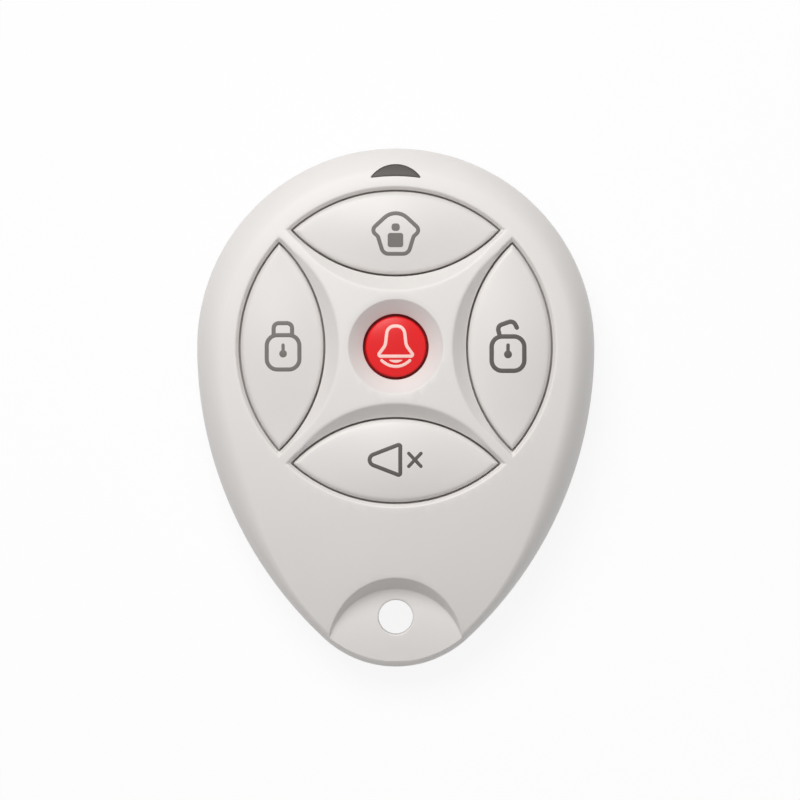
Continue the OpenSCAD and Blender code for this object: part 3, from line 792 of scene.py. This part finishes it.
def window(grow):
    """Outline of the slot at the head, from the middle of the keys."""
    foot = window_foot + window_round
    arc = window_arc - window_round
    corner_y = (foot ** 2 + window_y ** 2 - arc ** 2) / (2 * window_y)
    corner_x = math.sqrt(foot ** 2 - corner_y ** 2)
    upper = math.degrees(math.atan2(corner_y - window_y, corner_x))
    lower = math.degrees(math.atan2(corner_y, corner_x))
    return outline([
        (0, window_y, window_arc, upper, 180 - upper, window_steps),
        (-corner_x, corner_y, window_round, 180 - upper, 360 - lower, window_round_steps),
        (0, 0, -window_foot, 360 - lower, 180 + lower, window_steps),
        (corner_x, corner_y, window_round, 180 + lower, 360 + upper, window_round_steps),
    ], grow)


def at_hub(points):
    """Moves points from the middle of the keys to the shared frame."""
    return [Vector((p.x, p.y + head_y, p.z)) for p in points]


def under_front(points, drop):
    """The plan points at a depth under the front's outside, in the shared frame."""
    return at_hub([Vector((p.x, p.y, front_height(p) - drop)) for p in points])


# Smoked polycarbonate looks an even dark grey, since the dark inside lies behind it, with little shine
smoked_lens = moulded_plastic(
    "moulded_smoked_polycarbonate", "#605B58", "#5A5653", gloss=0.42, grain=0.4 * mm, depth=0.002 * mm,
    shine=0.15)
pipe_rings = [at_hub(level(window(-lens_fit), lens_bottom))]
for drop, inset in ((lens_break, 0), (lens_bow, lens_bow), (0, lens_break)):
    edge = window(-lens_fit - inset)
    pipe_rings.append(under_front(edge, lens_sink + drop))
pipe_middle = Vector((0, (window_top + window_foot) / 2))
for share in lens_shares:
    pipe_rings.append(under_front([pipe_middle + share * (p - pipe_middle) for p in edge], lens_sink))
light_pipe = piece("light_pipe", loft(pipe_rings))
lens_seat = dome_height(Vector((lens_limit, 0)), roof) - lens_fit
key_clear = ring_radius + flange_width + key_gap
pipe_ledge = [p.normalized() * min(p.length, lens_limit) for p in window(lens_flange)]
pipe_ledge = [p.normalized() * max(p.length, key_clear) for p in pipe_ledge]
ledge_rings = [at_hub(level(pipe_ledge, z)) for z in (lens_seat - lens_flange_thick, lens_seat)]
combine(light_pipe, loft(ledge_rings), "UNION")
finish_edges(light_pipe)
light_pipe.data.materials.append(smoked_lens)
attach(light_pipe, "housing")
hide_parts("indicator_lens")

# Front cover
# The domed half of the housing, moulded in the same ABS, with four lens openings round a raised star, a dish
# for the round key, the light pipe's slot and the sunk key-ring tab. Slopes lead from the star to the keys.
dome_rings = 26
edge_rings = 14
roof_shares = (1, 0.8, 0.6, 0.4, 0.2, 0.05)
slope_y = 20.29 * mm
slope_radius = 13.79 * mm
slope_fall = 1.0
opening_bevel = 0.38 * mm
bevel_fall = 0.66 * mm
opening_round = 0.2 * mm
round_shares = (0, 0.25, 0.5, 0.7, 0.85)
skirt_wall = 0.9 * mm
skirt_gap = 0.05 * mm
skirt_bottom = flange_top + skirt_gap
panic_hole = panic_radius + panic_gap
dish_foot_round = 0.1 * mm
dish_round = 0.3 * mm
dish_mouth = dish_radius + 2 * dish_round
dish_clear = 0.01 * mm
tab_height = 6.5 * mm
tab_arc = 8 * mm
tab_y = -28.95 * mm
tab_draft = math.tan(math.radians(25.5))
tab_bend = 26 * mm
tab_bend_y = -21.5 * mm
tab_step = 0.35 * mm
tab_first_step = 4
tab_turn_steps = 180
tab_round = 0.12 * mm
tab_fillet = 0.15 * mm
tab_hole_round = 0.2 * mm
fillet_shares = (0, 0.25, 0.5, 0.75, 1)
least_round = 0.02 * mm
most_of_rise = 0.4
top_of_rise = 0.55
round_room = 1.2
pilot_radius = 1.05 * mm
pilot_top = 8.7 * mm
clear_height = front_high.z + 2 * mm
sharp_angle = 24


def edge_section(width, depth, reach):
    """Section of an edge from a depth below it up to the surface, as pairs of distance out and depth: a
    straight run of that width, a rounding of that reach and a point just clear of the surface."""
    back = reach / math.hypot(width, depth)
    pairs = [(0, depth)]
    for t in round_shares:
        pairs.append((width * (1 - back * (1 - t) ** 2) + reach * t * t, depth * back * (1 - t) ** 2))
    return pairs + [(width + edge_spread * reach, -edge_clear * reach)]


def tab_floor(p):
    """Height of the tab's floor at a plan point from the middle of the keys. It bends down to the tail."""
    past = tab_bend_y - max(front_low.y, p.y + head_y)
    return tab_height - max(0, past) ** 2 / (2 * tab_bend)


# Dome, rolled edge and the hollow under them
hub = Vector((0, head_y))
ways = [(outer - p) / mm for p, outer in zip(outline(egg), outline(egg, mm))]
reaches = [way * roll_width(way) for way in ways]
starts = [p - hub - reach for p, reach in zip(outline(egg), reaches)]
front_rings = []
for step in range(1, dome_rings + 1):
    share = step / dome_rings
    front_rings.append([Vector((share * p.x, share * p.y, dome_height(share * p))) for p in starts])
for step in range(1, edge_rings):
    share = math.sin(math.pi / 2 * step / edge_rings)
    ring = []
    for start, reach in zip(starts, reaches):
        place = start + share * reach
        ring.append(Vector((place.x, place.y, roll_height(start, reach, share))))
    front_rings.append(ring)
front_rings = [at_hub(ring) for ring in front_rings]
front_rings.append(level(outline(egg), parting + seam_break))
front_rings.append(level(outline(egg, -seam_break), parting))
front_rings.append(level(inner_wall, parting))
for share in roof_shares:
    ring = [share * (p - hub) for p in inner_wall]
    front_rings.append(at_hub([Vector((p.x, p.y, dome_height(p, roof))) for p in ring]))
front_shell = piece("front_shell", loft(front_rings))

# Skirts that guide the keys under the roof
skirt = lens(key_gap / 2 + skirt_wall)
skirt_top = [Vector((p.x, p.y, dome_height(p, roof / 2))) for p in skirt]
for turn in key_turns.values():
    combine(front_shell, at_key(loft([level(skirt, skirt_bottom), skirt_top]), turn), "UNION")
round_skirt = panic_hole + skirt_wall
round_skirt_top = front_high.z - roof / 2
skirt_corners = [
    (0, skirt_bottom), (round_skirt, skirt_bottom), (round_skirt, round_skirt_top), (0, round_skirt_top),
]
combine(front_shell, lathe(skirt_corners, 0, head_y), "UNION")

# Lens openings, with a bevel all round and a slope on the star's side
rim = lens(key_gap / 2, tip_round)
normals = [(q - p) / mm for p, q in zip(lens(0), lens(mm))]
sections = []
for p, normal in zip(rim, normals):
    from_slope = p - Vector((0, slope_y))
    along = from_slope.dot(normal)
    width = -along + math.sqrt(max(0, along ** 2 - from_slope.length_squared + slope_radius ** 2))
    inward = normal.dot(p) < 0
    width = max(opening_bevel, width) if inward else opening_bevel
    sections.append(edge_section(width, max(slope_fall * width, bevel_fall), opening_round))
opening_rings = [level(rim, flange_bottom)]
for k in range(len(sections[0])):
    ring = []
    for i, section in enumerate(sections):
        q = lens(key_gap / 2 + section[k][0], tip_round)[i]
        ring.append(Vector((q.x, q.y, dome_height(q) - section[k][1])))
    opening_rings.append(ring)
opening_rings.append(level(opening_rings[-1], clear_height))
for turn in key_turns.values():
    combine(front_shell, at_key(loft(opening_rings), turn))

# Dish of the round key
dish_corners = [
    (0, flange_bottom, 0), (panic_hole, flange_bottom, 0), (panic_hole, dish_floor, dish_foot_round),
    (dish_radius, front_high.z, dish_round), (dish_mouth, front_high.z + dish_clear, 0),
    (dish_mouth, clear_height, 0), (0, clear_height, 0),
]
combine(front_shell, lathe(rounded(dish_corners), 0, head_y, steps=128))

# Slot of the light pipe
slot_rings = [at_hub(level(window(0), lens_bottom))]
for out, drop in edge_section(0, 2 * lens_break, lens_break):
    slot_rings.append(under_front(window(out), drop))
slot_rings.append(level(slot_rings[-1], clear_height))
combine(front_shell, loft(slot_rings))

# Key-ring tab: how far out its drafted wall meets the front, all round
tab_centre = Vector((0, tab_y - head_y))
tab_turns = []
for step in range(tab_turn_steps):
    turn = math.radians(360 * step / tab_turn_steps)
    tab_turns.append(Vector((math.cos(turn), math.sin(turn))))
wall_tops = []
for way in tab_turns:
    foot_z = tab_floor(tab_centre + way * tab_arc)
    low, high = tab_arc, tab_arc + tab_draft * (front_high.z - tab_height)
    for _ in range(halvings):
        r = (low + high) / 2
        wall_z = foot_z + (r - tab_arc) / tab_draft
        low, high = (r, high) if wall_z < front_height(tab_centre + way * r) else (low, r)
    wall_tops.append(r)

# Key-ring tab: floor, fillet at its edge, drafted wall and rounded rim
recess_rings = []
for step in range(tab_first_step, math.floor(tab_arc / tab_step)):
    ring = [tab_centre + way * step * tab_step for way in tab_turns]
    recess_rings.append(at_hub([Vector((p.x, p.y, tab_floor(p))) for p in ring]))
for t in fillet_shares:
    ring = []
    for way, r in zip(tab_turns, wall_tops):
        fillet = max(least_round, min(tab_fillet, most_of_rise * (r - tab_arc) / tab_draft))
        q = tab_centre + way * (tab_arc - fillet * (1 - t) ** 2 + fillet * tab_draft * t * t)
        ring.append(Vector((q.x, q.y, tab_floor(q) + fillet * t * t)))
    recess_rings.append(at_hub(ring))
tab_sections = []
for r in wall_tops:
    rise = (r - tab_arc) / tab_draft
    reach = max(least_round, min(tab_round, most_of_rise * rise))
    depth = max(round_room * reach, top_of_rise * rise)
    tab_sections.append(edge_section(depth * tab_draft, depth, reach))
for k in range(len(tab_sections[0])):
    ring = []
    for way, r, section in zip(tab_turns, wall_tops, tab_sections):
        out, drop = section[k]
        q = tab_centre + way * (r - section[0][1] * tab_draft + out)
        top = front_height(tab_centre + way * max(r, r - section[0][1] * tab_draft + out))
        ring.append(Vector((q.x, q.y, max(tab_floor(q) + least_round, top) - drop)))
    recess_rings.append(at_hub(ring))
recess_rings.append(level(recess_rings[-1], clear_height))
combine(front_shell, loft(recess_rings))

# Key-ring hole and the screw's pilot hole
hole_middle = Vector((0, ring_hole_y - head_y))
hole_rings = [at_hub(level([hole_middle + ring_hole * way for way in tab_turns], parting - beyond))]
for out, drop in edge_section(0, 2 * tab_hole_round, tab_hole_round):
    edge = [hole_middle + (ring_hole + out) * way for way in tab_turns]
    hole_rings.append(at_hub([Vector((p.x, p.y, tab_floor(p) - drop)) for p in edge]))
hole_rings.append(level(hole_rings[-1], clear_height))
combine(front_shell, loft(hole_rings))
pilot_corners = [
    (0, parting - beyond), (pilot_radius, parting - beyond), (pilot_radius, pilot_top), (0, pilot_top),
]
combine(front_shell, lathe(pilot_corners, 0, screw_y, steps=48))
finish_edges(front_shell, sharp_angle)
front_shell.data.materials.append(housing_abs)
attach(front_shell, "housing")
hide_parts("front_cover")

# Cover screw
# A small self-tapping steel screw with a pan head and a cross recess, zinc plated, driven from the back.
# It goes through the rear cover's counterbore into the pilot hole of the front cover.
dress("cover_screw", drawn_metal(
    "zinc_plated_steel", "#BFC1C2", "#A7AAAC", roughness=0.34, grain=0.12 * mm, depth=0.003 * mm))

# Floor
# A matt white sheet of paper that the fob lies on, a hair under its back.
# For the camera and in reflections it is lifted towards white and keeps a faint shadow.
floor_size = 2.0
floor_gap = 0.05 * mm
floor_lift = 0.88
paper_white = 0.9


def seen_rays(tree):
    """Output of 1 for rays that the camera sees, straight, in a reflection or through glass, and else 0."""
    path = add(tree, "ShaderNodeLightPath", {})
    straight = path["Is Camera Ray"]
    mirrored = path["Is Glossy Ray"]
    through = path["Is Transmission Ray"]
    seen = add(tree, "ShaderNodeMath", {0: straight, 1: mirrored}, operation="MAXIMUM")[0]
    return add(tree, "ShaderNodeMath", {0: seen, 1: through}, operation="MAXIMUM")[0]


floor_bm = bmesh.new()
bmesh.ops.create_grid(floor_bm, x_segments=2, y_segments=2, size=floor_size)
bmesh.ops.translate(floor_bm, vec=(0, 0, -floor_gap), verts=floor_bm.verts)
floor = piece("floor", floor_bm)
floor_white, tree = blank_material("matt_white_paper")
lift = add(tree, "ShaderNodeMath", {0: seen_rays(tree), 1: floor_lift}, operation="MULTIPLY")[0]
paper = add(tree, "ShaderNodeBsdfDiffuse", {"Color": (paper_white, paper_white, paper_white, 1)})["BSDF"]
glow = add(tree, "ShaderNodeEmission", {"Color": (1, 1, 1, 1), "Strength": 1.0})["Emission"]
mixed = add(tree, "ShaderNodeMixShader", {0: lift, 1: paper, 2: glow})["Shader"]
add(tree, "ShaderNodeOutputMaterial", {"Surface": mixed})
floor.data.materials.append(floor_white)

# Lights
# A large softbox high over the head and a little to the left gives the slopes and the dish their shading.
# The white room around is brightest overhead, and plain white where the camera or a reflection sees it.
lamp_turn = math.radians(110)
lamp_rise = math.radians(52)
lamp_distance = 0.7
lamp_size = 0.55 * lamp_distance
lamp_energy = 3.3
overhead = 0.82
overhead_focus = 1.5
lamp = bpy.data.lights.new("softbox", "AREA")
lamp.shape = "SQUARE"
lamp.size = lamp_size
lamp.energy = lamp_energy
softbox = bpy.data.objects.new("softbox", lamp)
bpy.context.scene.collection.objects.link(softbox)
level_way = Vector((math.cos(lamp_turn), math.sin(lamp_turn), 0)) * math.cos(lamp_rise)
softbox.location = lamp_distance * (level_way + Vector((0, 0, math.sin(lamp_rise))))
softbox.rotation_euler = softbox.location.to_track_quat("Z", "Y").to_euler()
world = bpy.data.worlds.new("room")
bpy.context.scene.world = world
world.use_nodes = True
tree = world.node_tree
tree.nodes.clear()
up = add(tree, "ShaderNodeSeparateXYZ", {"Vector": add(tree, "ShaderNodeTexCoord", {})["Generated"]})["Z"]
up = add(tree, "ShaderNodeMath", {0: up, 1: 0.0}, operation="MAXIMUM")[0]
up = add(tree, "ShaderNodeMath", {0: up, 1: overhead_focus}, operation="POWER")[0]
up = add(tree, "ShaderNodeMath", {0: up, 1: overhead}, operation="MULTIPLY")[0]
strength = add(tree, "ShaderNodeMix", {0: seen_rays(tree), 2: up, 3: 1.0}, data_type="FLOAT")[0]
background = add(tree, "ShaderNodeBackground", {"Color": (1, 1, 1, 1), "Strength": strength})["Background"]
add(tree, "ShaderNodeOutputWorld", {"Surface": background})

# Camera
# Straight above the fob with its head up, through a lens so long that the sides don't show.
# The frame is the photograph's, whose middle lies a little off the middle of the fob.
frame_width = 92.67 * mm
frame_x = 0.49 * mm
frame_y = 0.87 * mm
view = bpy.data.cameras.new("camera")
view.lens = 500
view.sensor_width = 36
view.clip_end = 10
camera = bpy.data.objects.new("camera", view)
bpy.context.scene.collection.objects.link(camera)
camera.location = (frame_x, frame_y, parting + frame_width * view.lens / view.sensor_width)
bpy.context.scene.camera = camera
bpy.context.scene.view_settings.view_transform = "Standard"
